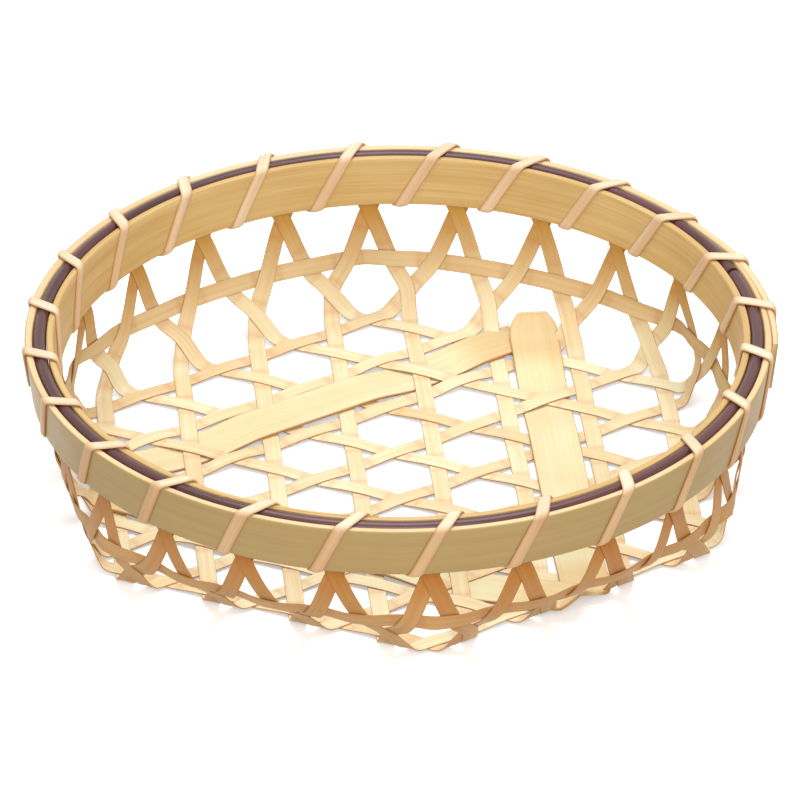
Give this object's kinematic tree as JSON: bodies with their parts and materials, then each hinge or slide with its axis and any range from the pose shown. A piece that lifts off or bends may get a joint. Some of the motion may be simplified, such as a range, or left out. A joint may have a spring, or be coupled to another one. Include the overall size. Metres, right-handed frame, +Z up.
{
  "type": "bamboo draining basket",
  "caption": "Shallow round bamboo basket in open hexagonal weave, stiffened by broad base slats, with a rim of hoops and a dark core bound by a spiral lashing.",
  "frame": {"origin": "on the surface it stands on, under the middle of the basket", "axes": "+Z up through the open top, +X towards the lap of the outer hoop"},
  "size_m": [0.242, 0.2402, 0.0578],
  "materials": {
    "split_bamboo": "satin split bamboo, pale golden",
    "slat_bamboo": "satin planed bamboo, cream",
    "hoop_bamboo": "satin planed bamboo with fine lengthwise fibres",
    "bamboo_skin": "smooth bamboo skin, olive tan",
    "dark_cane": "smooth dark brown cane",
    "lashing_bamboo": "satin split bamboo, peach cream"
  },
  "bodies": {
    "root": {"weave_a_1": "split_bamboo", "weave_a_2": "split_bamboo", "weave_a_3": "split_bamboo", "weave_a_4": "split_bamboo", "weave_a_5": "split_bamboo", "weave_a_6": "split_bamboo", "weave_a_7": "split_bamboo", "weave_a_8": "split_bamboo", "weave_b_1": "split_bamboo", "weave_b_2": "split_bamboo", "weave_b_3": "split_bamboo", "weave_b_4": "split_bamboo", "weave_b_5": "split_bamboo", "weave_b_6": "split_bamboo", "weave_b_7": "split_bamboo", "weave_b_8": "split_bamboo", "weave_c_1": "split_bamboo", "weave_c_2": "split_bamboo", "weave_c_3": "split_bamboo", "weave_c_4": "split_bamboo", "weave_c_5": "split_bamboo", "weave_c_6": "split_bamboo", "weave_c_7": "split_bamboo", "weave_c_8": "split_bamboo", "wall_ring": "split_bamboo", "base_slat_1": "slat_bamboo", "base_slat_2": "slat_bamboo", "base_slat_3": "slat_bamboo", "inner_hoop": "hoop_bamboo", "outer_hoop": "bamboo_skin", "rim_core": "dark_cane", "rim_lashing": "lashing_bamboo"}
  },
  "joints": []
}
